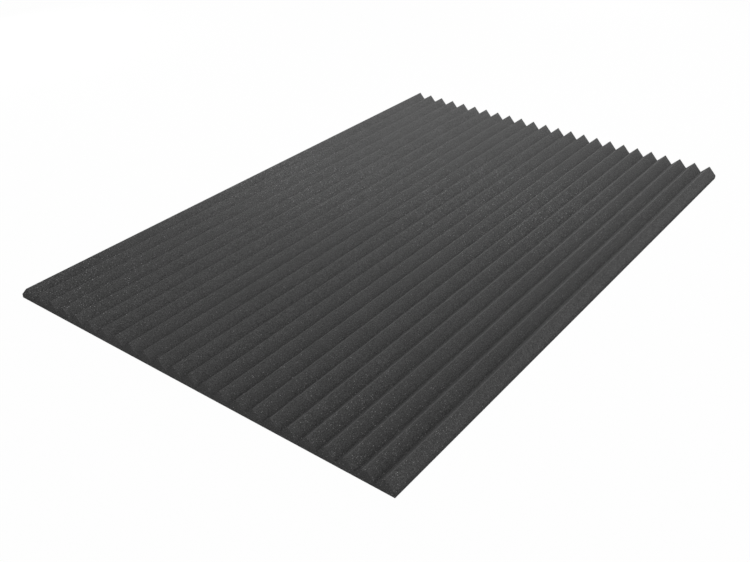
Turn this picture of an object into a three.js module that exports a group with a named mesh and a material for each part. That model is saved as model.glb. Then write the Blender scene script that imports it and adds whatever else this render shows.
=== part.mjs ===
import * as THREE from 'three';

// Acoustic foam panel, in millimetres: a single sheet of open-cell foam, flat on its back and
// contour-cut on its face into straight wedges. X runs across the wedges, Y along their ridges
// and Z up from the back. The origin is the middle of the back, which lies or is glued flat.

// Driving dimensions
const panelWidth = 1000; // across the wedges
const panelLength = 1500; // along the ridges
const panelThickness = 30; // from the back to a ridge
const baseThickness = 9.2; // of the web left under a groove
const usualPitch = 42; // from ridge to ridge, before it is fitted to the width
const ridgeRadius = 0.6; // foam can't hold a knife edge, so a ridge ends in a small round
const grooveRadius = 0.8; // left by the cutter as it turns at the bottom of a groove
const rimRadius = 1.2; // where an outermost flank meets the side of the sheet

// Each round in the profile is drawn with twice this many facets.
const roundFacets = 3;

// The colour is written as it looks, in sRGB.
const foam = new THREE.MeshStandardMaterial({ color: '#454545', roughness: 1, metalness: 0 });

// The sheet is as wide as a whole number of wedges, so that its sides end in half grooves and
// sheets laid side by side carry the pattern on. The pitch is drawn or squeezed a little to fit.
const wedgeCount = Math.round(panelWidth / usualPitch);
const wedgePitch = panelWidth / wedgeCount;
const halfWidth = panelWidth / 2;
const halfPitch = wedgePitch / 2;

// Heights of the centres of a ridge's round, inside the foam, and a groove's, above it.
const ridgeCentre = panelThickness - ridgeRadius;
const grooveCentre = baseThickness + grooveRadius;

// A flank runs straight from ridge to groove and touches both rounds, so it crosses the line
// between their centres and is a little steeper than it.
function flankAngle() {
  const drop = ridgeCentre - grooveCentre;
  const centreLine = Math.atan2(drop, halfPitch);
  const crossing = Math.asin((ridgeRadius + grooveRadius) / Math.hypot(halfPitch, drop));
  return centreLine + crossing;
}

// Direction in which a flank on the +X side of its ridge faces, measured from +X.
const flankFacing = Math.PI / 2 - flankAngle();

// An outermost flank runs down to a round on the side of the sheet. The round's centre lies its
// own radius inside both the flank and the side face.
function rimCentreHeight() {
  const outFromRidge = halfPitch - rimRadius;
  const deeperThanRidge = ridgeRadius - rimRadius;
  const fall = outFromRidge * Math.cos(flankFacing) - deeperThanRidge;
  return ridgeCentre - fall / Math.sin(flankFacing);
}

// Cross-section of the sheet, anticlockwise: along the back, up the right side, over the wedges
// from right to left and down the left side.
function wedgeProfile() {
  const profile = new THREE.Shape();
  const rimCentre = rimCentreHeight();
  const leftFacing = Math.PI - flankFacing;

  profile.moveTo(-halfWidth, 0);
  profile.lineTo(halfWidth, 0);
  profile.absarc(halfWidth - rimRadius, rimCentre, rimRadius, 0, flankFacing, false);

  for (let wedge = wedgeCount; wedge > 0; wedge -= 1) {
    const ridgeX = wedge * wedgePitch - halfPitch - halfWidth;
    profile.absarc(ridgeX, ridgeCentre, ridgeRadius, flankFacing, leftFacing, false);

    const hasGrooveOnLeft = wedge > 1;
    if (hasGrooveOnLeft) {
      const grooveX = ridgeX - halfPitch;
      profile.absarc(grooveX, grooveCentre, grooveRadius, -flankFacing, -leftFacing, true);
    }
  }

  profile.absarc(rimRadius - halfWidth, rimCentre, rimRadius, leftFacing, Math.PI, false);
  profile.closePath();
  return profile;
}

// The profile is swept along the ridges and stood up, so that its height becomes Z, and the two
// ends are square cuts.
function wedgeFoamSheet() {
  const sweep = { depth: panelLength, bevelEnabled: false, curveSegments: roundFacets };
  const geometry = new THREE.ExtrudeGeometry(wedgeProfile(), sweep);
  geometry.rotateX(Math.PI / 2);

  const sheet = new THREE.Mesh(geometry, foam);
  sheet.name = 'wedge_foam_sheet';
  sheet.position.y = panelLength / 2;
  return sheet;
}

const acousticFoamPanel = new THREE.Group();
acousticFoamPanel.add(wedgeFoamSheet());

export default acousticFoamPanel;
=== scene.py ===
import math

import bmesh
import bpy
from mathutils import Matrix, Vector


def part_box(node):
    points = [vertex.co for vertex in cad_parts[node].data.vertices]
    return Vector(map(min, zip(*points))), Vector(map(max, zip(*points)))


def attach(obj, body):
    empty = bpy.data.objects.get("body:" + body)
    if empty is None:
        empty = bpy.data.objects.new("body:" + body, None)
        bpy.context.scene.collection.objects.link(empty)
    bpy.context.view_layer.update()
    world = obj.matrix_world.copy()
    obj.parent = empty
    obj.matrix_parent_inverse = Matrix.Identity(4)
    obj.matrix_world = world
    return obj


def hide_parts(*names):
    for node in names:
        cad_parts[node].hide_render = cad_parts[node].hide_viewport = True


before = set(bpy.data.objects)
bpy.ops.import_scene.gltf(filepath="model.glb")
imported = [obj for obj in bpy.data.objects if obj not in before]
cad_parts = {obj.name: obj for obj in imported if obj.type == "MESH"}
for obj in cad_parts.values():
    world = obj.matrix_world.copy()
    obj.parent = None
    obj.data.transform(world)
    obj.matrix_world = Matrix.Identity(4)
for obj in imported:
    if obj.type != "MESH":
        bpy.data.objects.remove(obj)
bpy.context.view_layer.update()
print("frame loaded")

mm = 0.001
sameSpot = 0.01 * mm  # two places closer than this count as one
sheetNode = "wedge_foam_sheet"
low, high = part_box(sheetNode)  # corners of the sheet, from the frame


# Selecting and modelling helpers

def choose(piece):
    # selects this piece alone, for the operators that follow
    bpy.ops.object.select_all(action="DESELECT")
    piece.select_set(True)
    bpy.context.view_layer.objects.active = piece


def startEditing(piece):
    choose(piece)
    bpy.ops.object.mode_set(mode="EDIT")
    bpy.ops.mesh.select_all(action="DESELECT")


def stopEditing():
    bpy.ops.object.mode_set(mode="OBJECT")


def pick(piece, kind, wanted):
    # selects the verts, edges or faces that wanted() says yes to, and counts them
    bpy.ops.mesh.select_mode(type={"verts": "VERT", "edges": "EDGE", "faces": "FACE"}[kind])
    bpy.ops.mesh.select_all(action="DESELECT")
    shape = bmesh.from_edit_mesh(piece.data)
    found = [part for part in getattr(shape, kind) if wanted(part)]
    for part in found:
        part.select_set(True)
    shape.select_flush_mode()
    bmesh.update_edit_mesh(piece.data)
    return len(found)


def roundOff(offset, steps):
    # turns the picked edges into rounds of so many facets
    bpy.ops.mesh.bevel(
        offset_type="OFFSET", offset=offset, segments=steps, affect="EDGES", clamp_overlap=False,
        profile=0.5,  # part of a circle
    )


def near(a, b):
    return abs(a - b) < sameSpot


def runsAlong(edge, axis):
    # true for an edge that runs along X (0), Y (1) or Z (2) and no other way
    span = edge.verts[1].co - edge.verts[0].co
    return all(near(span[i], 0) for i in range(3) if i != axis)


def applyModifiers(piece):
    choose(piece)
    for modifier in list(piece.modifiers):
        bpy.ops.object.modifier_apply(modifier=modifier.name)


# The foam sheet

foam = {
    "wedges": 24,
    "web": 9.2 * mm,  # foam left under a groove
    "ridgeRound": 0.6 * mm,
    "grooveRound": 0.8 * mm,
    "rimRound": 1.2 * mm,  # where an outermost flank meets its side
    "edgeRound": 0.3 * mm,  # the cut ends and the back are soft at their edges
    "roundSteps": 3,  # facets in a round that runs along the sheet
    "edgeSteps": 2,  # and in a soft edge
    "endFacing": 0.99,  # how squarely a face looks along Y if it is part of a cut end
    "flankSteps": 5,
    "flankLeast": 5 * mm,  # a flank is taller and wider than this, and no facet of a round is
    "lengthSteps": 220,  # the grid is fine enough for the unevenness below
    "waver": {"size": 120 * mm, "depth": 0.06 * mm},  # slow drift of the contour cut
    "rubble": {"size": 7 * mm, "depth": 0.03 * mm},  # uneven cells along the cut
    "cutDetail": 2,  # finer layers in those two patterns
    "stillBelow": 1 * mm,  # the back and its edges keep clear of them
    "crispAngle": 50,  # degrees; an edge sharper than this isn't shaded smooth
}


def flankAngle(halfPitch, drop):
    # the flank touches the round of its ridge and the round of its groove
    rounds = foam["ridgeRound"] + foam["grooveRound"]
    return math.atan2(drop, halfPitch) + math.asin(rounds / math.hypot(halfPitch, drop))


def makeSheet():
    width, length, thickness = (high[i] - low[i] for i in range(3))
    halfPitch = width / foam["wedges"] / 2
    drop = thickness - foam["web"] - foam["ridgeRound"] - foam["grooveRound"]
    angle = flankAngle(halfPitch, drop)
    spare = 1 / math.cos(angle) - 1  # how far a sharp corner stands past its round
    crest = thickness + foam["ridgeRound"] * spare
    trough = crest - halfPitch * math.tan(angle)

    bpy.ops.object.select_all(action="DESELECT")
    bpy.ops.mesh.primitive_cube_add(
        size=1, location=(0, 0, trough / 2), scale=(width, length, trough)
    )
    sheet = bpy.context.object
    sheet.name = "foamSheet"
    bpy.ops.object.transform_apply(location=True, rotation=True, scale=True)

    startEditing(sheet)

    # strips half a wedge wide, every other line between them lifted to a crest
    pick(sheet, "edges", lambda e: runsAlong(e, 0))
    bpy.ops.mesh.subdivide(number_cuts=2 * foam["wedges"] - 1)

    def isCrestLine(v):
        strip = round((v.co.x - low[0]) / halfPitch)
        return near(v.co.z, trough) and strip % 2 == 1

    pick(sheet, "verts", isCrestLine)
    bpy.ops.transform.translate(value=(0, 0, crest - trough))

    # rounds along the ridges, the grooves and the two rims
    def isLine(e, height):
        return runsAlong(e, 1) and near(e.verts[0].co.z, height)

    def atRim(e):
        return abs(e.verts[0].co.x) > high[0] - halfPitch

    tangent = math.tan(angle)
    lines = {
        "ridge": (lambda e: isLine(e, crest), foam["ridgeRound"] * tangent),
        "groove": (lambda e: isLine(e, trough) and not atRim(e), foam["grooveRound"] * tangent),
        "rim": (lambda e: isLine(e, trough) and atRim(e), foam["rimRound"] * math.tan(angle / 2)),
    }
    for name, (isWanted, offset) in lines.items():
        count = pick(sheet, "edges", isWanted)
        roundOff(offset, foam["roundSteps"])
        print("rounded", count, name, "lines")

    # soft edges round the two cut ends and round the flat back
    def isOuterEdge(e):
        a, b = (v.co for v in e.verts)
        atEnd = near(abs(a.y), high[1]) and near(a.y, b.y)
        withinEnd = all(abs(f.normal.y) > foam["endFacing"] for f in e.link_faces)
        atBack = near(a.z, low[2]) and near(b.z, low[2])
        onSide = near(abs(a.x), high[0]) and near(a.x, b.x)
        return (atEnd and not withinEnd) or (atBack and onSide)

    pick(sheet, "edges", isOuterEdge)
    roundOff(foam["edgeRound"], foam["edgeSteps"])

    # a finer grid on the flanks and along the ridges
    def isFlankEdge(e):
        a, b = (v.co for v in e.verts)
        return near(a.y, b.y) and min(abs(a.z - b.z), abs(a.x - b.x)) > foam["flankLeast"]

    pick(sheet, "edges", isFlankEdge)
    bpy.ops.mesh.subdivide(number_cuts=foam["flankSteps"] - 1)
    pick(sheet, "edges", lambda e: abs(e.verts[0].co.y - e.verts[1].co.y) > length / 2)
    bpy.ops.mesh.subdivide(number_cuts=foam["lengthSteps"] - 1)
    pick(sheet, "faces", lambda f: True)
    bpy.ops.mesh.normals_make_consistent(inside=False)
    stopEditing()
    print("sheet has", sum(len(face.vertices) - 2 for face in sheet.data.polygons), "triangles")
    return sheet


def roughen(piece, name, size, depth):
    # pushes the surface in and out by a cloudy pattern, but never the flat back
    pattern = bpy.data.textures.new(name, "CLOUDS")
    pattern.noise_scale = size
    pattern.noise_depth = foam["cutDetail"]
    push = piece.modifiers.new(name, "DISPLACE")
    push.texture = pattern
    push.texture_coords = "LOCAL"
    push.direction = "NORMAL"
    push.mid_level = 0.5  # as far in as out
    push.strength = depth
    push.vertex_group = "aboveBack"


sheet = makeSheet()
loose = sheet.vertex_groups.new(name="aboveBack")
loose.add([v.index for v in sheet.data.vertices if v.co.z > foam["stillBelow"]], 1, "REPLACE")
for name in ("waver", "rubble"):
    roughen(sheet, name, foam[name]["size"], foam[name]["depth"])
applyModifiers(sheet)
sheet.vertex_groups.clear()
bpy.ops.object.shade_smooth_by_angle(angle=math.radians(foam["crispAngle"]))
print("sheet roughened")


# Material helpers

def emptyTree(owner):
    # the node tree of a material or world, with nothing in it yet
    owner.use_nodes = True
    owner.node_tree.nodes.clear()
    return owner.node_tree


def node(tree, kind, **values):
    made = tree.nodes.new(kind)
    for key, value in values.items():
        setattr(made, key, value)
    return made


def feed(socket, value):
    # gives an input a number, a place or colour, or what another node puts out
    if isinstance(value, bpy.types.NodeSocket):
        socket.id_data.links.new(value, socket)
    else:
        socket.default_value = value


def maths(tree, operation, *values):
    made = node(tree, "ShaderNodeMath", operation=operation)
    for socket, value in zip(made.inputs, values):
        feed(socket, value)
    return made.outputs["Value"]


def measure(tree, operation, *vectors):
    # a length, a distance or another number taken from vectors
    made = node(tree, "ShaderNodeVectorMath", operation=operation)
    for socket, value in zip(made.inputs, vectors):
        feed(socket, value)
    return made.outputs["Value"]


def remap(tree, value, source, target, kind="SMOOTHSTEP"):
    # turns a value between the source's two ends into one between the target's
    made = node(tree, "ShaderNodeMapRange", interpolation_type=kind)
    names = ("Value", "From Min", "From Max", "To Min", "To Max")
    for name, given in zip(names, (value, *source, *target)):
        feed(made.inputs[name], given)
    return made.outputs["Result"]


def cellPattern(tree, place, size):
    made = node(tree, "ShaderNodeTexVoronoi", voronoi_dimensions="3D", feature="F1")
    feed(made.inputs["Scale"], 1 / size)
    feed(made.inputs["Vector"], place)
    return made


def cloudPattern(tree, place, size, detail):
    made = node(tree, "ShaderNodeTexNoise", noise_dimensions="3D")
    feed(made.inputs["Scale"], 1 / size)
    feed(made.inputs["Detail"], detail)
    feed(made.inputs["Vector"], place)
    return made.outputs["Fac"]


def mixShaders(tree, share, first, second):
    made = node(tree, "ShaderNodeMixShader")
    for socket, value in zip(made.inputs, (share, first, second)):
        feed(socket, value)
    return made.outputs["Shader"]


# The foam's finish

finish = {
    "colour": (0.075, 0.075, 0.075),
    "roughness": 0.95,
    "specular": 0.2,
    "cells": {
        "size": 1.4 * mm,
        "fade": (0.1, 0.75),  # where a pore ends and its strut is full, as a share of the size
        "light": (0.65, 1.25),  # of the pore and of the strut, times the colour
        "bump": 0.15 * mm,
    },
    "paintedGlints": {  # painted glints: skins left in some of the cells, with the light they catch painted into the colour
        "size": 2.6 * mm,
        "fade": (0.12, 0.36),  # where a fleck starts to fade and where it ends
        "light": 5.5,  # of a fleck's middle, times the foam round it
        "usual": 0.1,  # share of the cells that have one, away from the patches
        "ramp": 0.2,  # how far past its chance a fleck is at its lightest
    },
    "grit": {  # clumps of coarser and finer cells
        "size": 2 * mm,
        "detail": 2,
        "noise": (0.25, 0.75),  # values that give the darkest and the lightest clump
        "light": (-0.58, 0.58),  # added by the darkest and by the lightest clump
        "usual": 1.05,  # how strong the clumps are, away from the patches
        "ridge": (high[2] - 1.5 * mm, high[2] - 0.5 * mm),  # heights where they fade and have faded
        "rubbed": 0.5,  # how much of them is left on the ridges
    },
    "dye": {  # slow variation of the colour
        "size": 60 * mm,
        "detail": 3,
        "noise": (0.3, 0.7),  # values that give the darkest and the lightest dye
        "light": (0.96, 1.04),  # times the colour
    },
    # soft round areas, in metres, that add to the painted glints, to the grit, and to the painted light
    # and shade
    "grainAndPaintedLightPatches": {
        "nearLeft": {
            "place": (-0.5, -0.72, 0), "reach": 0.4, "paintedGlints": 0.25, "grit": 0.15, "tone": -0.05,
        },
        "nearRight": {
            "place": (0.4, -0.74, 0), "reach": 0.45, "paintedGlints": 0.2, "grit": -0.1, "tone": 0,
        },
        "nearMiddle": {
            "place": (0, -0.75, 0), "reach": 0.45, "paintedGlints": 0.04, "grit": -0.1, "tone": -0.015,
        },
        "leftMiddle": {
            "place": (-0.38, 0.02, 0), "reach": 0.48, "paintedGlints": 0.14, "grit": 0.3, "tone": 0.035,
        },
        "rightMiddle": {
            "place": (0.15, 0.26, 0), "reach": 0.46, "paintedGlints": 0.28, "grit": 0.45, "tone": 0.015,
        },
        "farLeft": {
            "place": (-0.3, 0.7, 0), "reach": 0.65, "paintedGlints": -0.1, "grit": 0.05, "tone": 0.02,
        },
    },
    # painted light and shade at the low and the high end of an axis, and where each is first and fully
    # felt:
    # out from the middle for the side, up for flank and ridge, and away from the groove's line
    "paintedLightZones": {
        # painted shade on the two long sides
        "paintedSideShade": {"axis": "Y", "shade": (0.88, 0.88), "felt": (high[0] - 1.2 * mm, high[0] - 0.3 * mm)},
        # painted shade on the upper flanks, strongest at the low-X side
        "paintedFlankShade": {"axis": "X", "shade": (0.955, 1), "felt": (low[2] + 12 * mm, high[2])},
        # painted highlight along the ridges, strongest at the low-Y end
        "ridge": {"axis": "Y", "shade": (1.14, 1.03), "felt": (high[2] - 0.6 * mm, high[2] - 0.2 * mm)},
        # painted shade in the grooves, strongest at the high-X side
        "groove": {"axis": "X", "shade": (0.955, 0.85), "felt": (7 * mm, 1 * mm)},
    },
}


def patchAmounts(tree, place):
    # how many painted glints, how much grit and how much painted light and shade, from place to place
    amounts = {"paintedGlints": finish["paintedGlints"]["usual"], "grit": finish["grit"]["usual"], "tone": 1}
    for patch in finish["grainAndPaintedLightPatches"].values():
        away = measure(tree, "DISTANCE", place, patch["place"])
        inside = remap(tree, away, (0, patch["reach"]), (1, 0))
        for name, amount in amounts.items():
            amounts[name] = maths(tree, "MULTIPLY_ADD", inside, patch[name], amount)
    return amounts


def paintedGlintLight(tree, place, share):
    # painted glints: some cells get a light spot, as if their skins caught the light
    paintedGlints = finish["paintedGlints"]
    pattern = cellPattern(tree, place, paintedGlints["size"])
    chance = node(tree, "ShaderNodeSeparateColor")
    feed(chance.inputs["Color"], pattern.outputs["Color"])
    likely = maths(tree, "ADD", chance.outputs["Red"], share)
    chosen = remap(tree, likely, (1, 1 + paintedGlints["ramp"]), (0, 1), "LINEAR")
    spot = remap(tree, pattern.outputs["Distance"], paintedGlints["fade"], (1, 0))
    shine = maths(tree, "MULTIPLY", chosen, spot)
    return remap(tree, shine, (0, 1), (1, paintedGlints["light"]), "LINEAR")


def gritLight(tree, place, height, strength):
    grit = finish["grit"]
    clouds = cloudPattern(tree, place, grit["size"], grit["detail"])
    uneven = remap(tree, clouds, grit["noise"], grit["light"], "LINEAR")
    rubbed = remap(tree, height, grit["ridge"], (1, grit["rubbed"]))
    amount = maths(tree, "MULTIPLY", strength, rubbed)
    return maths(tree, "MULTIPLY_ADD", uneven, amount, 1)


def dyeLight(tree, place):
    dye = finish["dye"]
    clouds = cloudPattern(tree, place, dye["size"], dye["detail"])
    return remap(tree, clouds, dye["noise"], dye["light"], "LINEAR")


def paintedZoneLights(tree, split):
    # painted shade on the sides, on the upper flanks towards low X and in the grooves, and a painted
    # highlight along the ridges
    height = split.outputs["Z"]
    outward = maths(tree, "ABSOLUTE", split.outputs["X"])
    across = node(tree, "ShaderNodeCombineXYZ")
    feed(across.inputs["X"], maths(tree, "PINGPONG", outward, high[0] / foam["wedges"]))
    feed(across.inputs["Z"], maths(tree, "SUBTRACT", height, foam["web"]))
    fromGroove = measure(tree, "LENGTH", across.outputs["Vector"])
    measures = {"paintedSideShade": outward, "paintedFlankShade": height, "ridge": height, "groove": fromGroove}

    lights = []
    for name, zone in finish["paintedLightZones"].items():
        axis = "XYZ".index(zone["axis"])
        ends = (low[axis], high[axis])
        shade = remap(tree, split.outputs[zone["axis"]], ends, zone["shade"], "LINEAR")
        lights.append(remap(tree, measures[name], zone["felt"], (1, shade)))
    return lights


def foamMaterial():
    material = bpy.data.materials.new("charcoalFoam")
    tree = emptyTree(material)
    place = node(tree, "ShaderNodeTexCoord").outputs["Object"]
    split = node(tree, "ShaderNodeSeparateXYZ")
    feed(split.inputs["Vector"], place)
    amounts = patchAmounts(tree, place)

    # open cells: a dark pore with lighter struts round it
    cells = finish["cells"]
    depth = cellPattern(tree, place, cells["size"]).outputs["Distance"]
    tone = remap(tree, depth, cells["fade"], cells["light"])
    layers = (
        gritLight(tree, place, split.outputs["Z"], amounts["grit"]),
        paintedGlintLight(tree, place, amounts["paintedGlints"]),
        dyeLight(tree, place),
        *paintedZoneLights(tree, split),
        # painted light and shade by place, from the patches
        amounts["tone"],
    )
    for layer in layers:
        tone = maths(tree, "MULTIPLY", tone, layer)
    colour = node(tree, "ShaderNodeVectorMath", operation="SCALE")
    feed(colour.inputs[0], finish["colour"])
    feed(colour.inputs["Scale"], tone)

    bump = node(tree, "ShaderNodeBump")
    feed(bump.inputs["Strength"], 1)
    feed(bump.inputs["Distance"], cells["bump"])
    feed(bump.inputs["Height"], depth)

    shader = node(tree, "ShaderNodeBsdfPrincipled")
    feed(shader.inputs["Roughness"], finish["roughness"])
    feed(shader.inputs["Specular IOR Level"], finish["specular"])
    feed(shader.inputs["Base Color"], colour.outputs["Vector"])
    feed(shader.inputs["Normal"], bump.outputs["Normal"])
    output = node(tree, "ShaderNodeOutputMaterial")
    feed(output.inputs["Surface"], shader.outputs["BSDF"])
    return material


sheet.data.materials.clear()
sheet.data.materials.append(foamMaterial())
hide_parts(sheetNode)
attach(sheet, "root")
print("foam finished")


# Floor, light and camera

white = (1, 1, 1, 1)

studio = {
    "floorSize": 30,  # metres
    "floorColour": (0.5, 0.5, 0.5, 1),
    "floorWhite": 0.985,  # share of plain white in what the camera sees of the floor
    "floorLift": 0.05 * mm,  # the foam sinks into the floor by this, so its back shows from below
    "skyFade": 2,  # power by which each light below fades towards the sides
    "sky": {  # soft room light, strongest where it comes from each of these directions
        "right": {"direction": (1, 0, 0), "strength": 1.07},
        "above": {"direction": (0, 0, 1), "strength": 0.33},
        "below": {"direction": (0, 0, -1), "strength": 1},
    },
    "lamps": {  # square ones, in metres and watts
        "overheadLamp": {"place": (0.35, 0.1, 1.2), "aim": (0.3, 0.1, 0), "size": 0.8, "power": 3.88},
        "leftTopLamp": {"place": (-0.5, 0.2, 0.8), "aim": (-0.5, 0.2, 0), "size": 0.5, "power": 2.76},
        "backTopLamp": {"place": (-0.2, 0.9, 0.6), "aim": (-0.2, 0.9, 0), "size": 0.8, "power": 1.99},
        "backLamp": {"place": (0.6, 1.6, 1.2), "aim": (0.3, 0.3, 0), "size": 0.8, "power": 11.3},
        "rightLamp": {"place": (1.6, -0.6, 1.0), "aim": (0.3, -0.4, 0), "size": 0.8, "power": 1.41},
        "lowLeftLamp": {"place": (-2.4, 0.4, 0.5), "aim": (0, 0, 0), "size": 0.4, "power": 31.5},
        "farLeftLamp": {"place": (-0.55, 2.3, 0.53), "aim": (-0.3, 0.5, 0), "size": 0.8, "power": 8.1},
        "frontLamp": {"place": (0, -2.4, 0.5), "aim": (0, -0.75, 0), "size": 0.8, "power": 6.9},
    },
}


def floorMaterial():
    # lit as a plain floor, but white to the camera and in anything glossy or clear
    material = bpy.data.materials.new("paleFloor")
    tree = emptyTree(material)
    lit = node(tree, "ShaderNodeBsdfDiffuse")
    feed(lit.inputs["Color"], studio["floorColour"])
    glow = node(tree, "ShaderNodeEmission")
    feed(glow.inputs["Color"], white)
    rays = node(tree, "ShaderNodeLightPath")
    seen = maths(tree, "MAXIMUM", rays.outputs["Is Camera Ray"], rays.outputs["Is Glossy Ray"])
    seen = maths(tree, "MAXIMUM", seen, rays.outputs["Is Transmission Ray"])
    share = maths(tree, "MULTIPLY", seen, studio["floorWhite"])
    output = node(tree, "ShaderNodeOutputMaterial")
    mixed = mixShaders(tree, share, lit.outputs["BSDF"], glow.outputs["Emission"])
    feed(output.inputs["Surface"], mixed)
    return material


def makeWorld():
    world = bpy.data.worlds.new("paleRoom")
    tree = emptyTree(world)

    # each direction lights the half of the room round it, and fades towards that half's edge
    outwards = node(tree, "ShaderNodeTexCoord").outputs["Generated"]
    total = 0
    for light in studio["sky"].values():
        facing = measure(tree, "DOT_PRODUCT", outwards, light["direction"])
        half = maths(tree, "MAXIMUM", facing, 0)
        faded = maths(tree, "POWER", half, studio["skyFade"])
        total = maths(tree, "MULTIPLY_ADD", faded, light["strength"], total)
    sky = node(tree, "ShaderNodeBackground")
    feed(sky.inputs["Color"], white)
    feed(sky.inputs["Strength"], total)

    backdrop = node(tree, "ShaderNodeBackground")
    feed(backdrop.inputs["Color"], white)
    seen = node(tree, "ShaderNodeLightPath").outputs["Is Camera Ray"]
    output = node(tree, "ShaderNodeOutputWorld")
    mixed = mixShaders(tree, seen, sky.outputs["Background"], backdrop.outputs["Background"])
    feed(output.inputs["Surface"], mixed)
    bpy.context.scene.world = world


def makeFloor():
    bpy.ops.object.select_all(action="DESELECT")
    bpy.ops.mesh.primitive_plane_add(
        size=studio["floorSize"], location=(0, 0, low[2] + studio["floorLift"])
    )
    floor = bpy.context.object
    floor.name = "floor"
    floor.data.materials.append(floorMaterial())


def aimAt(lamp, target):
    # turns a lamp so that it shines at the target
    x, y, z = (target[i] - lamp.location[i] for i in range(3))
    lamp.rotation_euler = (math.atan2(math.hypot(x, y), -z), 0, math.atan2(-x, y))


def makeLamps():
    for name, facts in studio["lamps"].items():
        bpy.ops.object.light_add(type="AREA", location=facts["place"])
        lamp = bpy.context.object
        lamp.name = name
        lamp.data.shape = "SQUARE"
        lamp.data.size = facts["size"]
        lamp.data.energy = facts["power"]
        lamp.visible_camera = False
        aimAt(lamp, facts["aim"])


makeFloor()
makeWorld()
makeLamps()
print("studio lit")

view = {
    "place": (1.1126, -1.6212, 1.0763),
    "azimuth": 36.862,  # degrees, as the elevation
    "elevation": 31.8545,
    "lens": 43.613,  # millimetres, as the sensor
    "sensor": 36,
}

bpy.ops.object.camera_add(location=view["place"])
camera = bpy.context.object
camera.name = "photoCamera"
camera.rotation_euler = (math.radians(90 - view["elevation"]), 0, math.radians(view["azimuth"]))
camera.data.sensor_width = view["sensor"]
camera.data.lens = view["lens"]
bpy.context.scene.camera = camera
bpy.context.scene.view_settings.view_transform = "Standard"
print("camera set")
